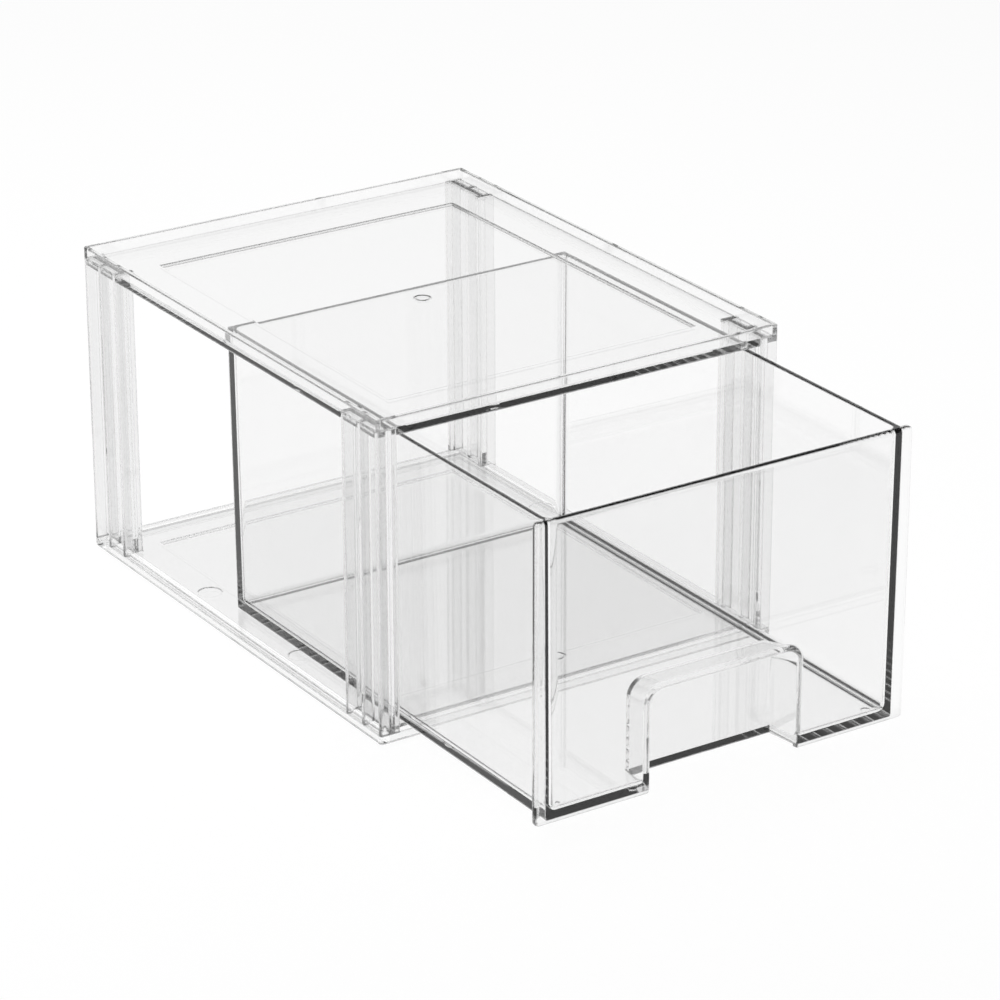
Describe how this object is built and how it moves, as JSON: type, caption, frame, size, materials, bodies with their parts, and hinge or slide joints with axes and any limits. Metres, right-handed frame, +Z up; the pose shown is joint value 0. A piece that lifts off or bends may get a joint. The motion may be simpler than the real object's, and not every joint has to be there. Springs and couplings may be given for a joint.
{
  "type": "stackable drawer box",
  "caption": "Clear stackable storage box: an open-sided case on ribbed corner posts, with a deep sliding drawer that has a finger pull moulded into its front.",
  "frame": {"origin": "centre of the ring foot's underside, midway between the case's sides and its front and back", "axes": "+Z up from the ring foot to the stacking rim, -Y towards the drawer's front, +X to the right of a person facing the drawer"},
  "size_m": [0.175, 0.3083, 0.128],
  "materials": {
    "clear_plastic": "clear moulded plastic with smooth glossy faces"
  },
  "bodies": {
    "case": {"top_plate": "clear_plastic", "base_plate": "clear_plastic", "front_left_post": "clear_plastic", "front_right_post": "clear_plastic", "rear_left_post": "clear_plastic", "rear_right_post": "clear_plastic"},
    "drawer": {"drawer": "clear_plastic"}
  },
  "joints": [
    {"name": "drawer_slide", "type": "slide", "parent": "case", "child": "drawer", "axis": [0, -1, 0], "range_m": [-0.0877, 0.06]}
  ]
}
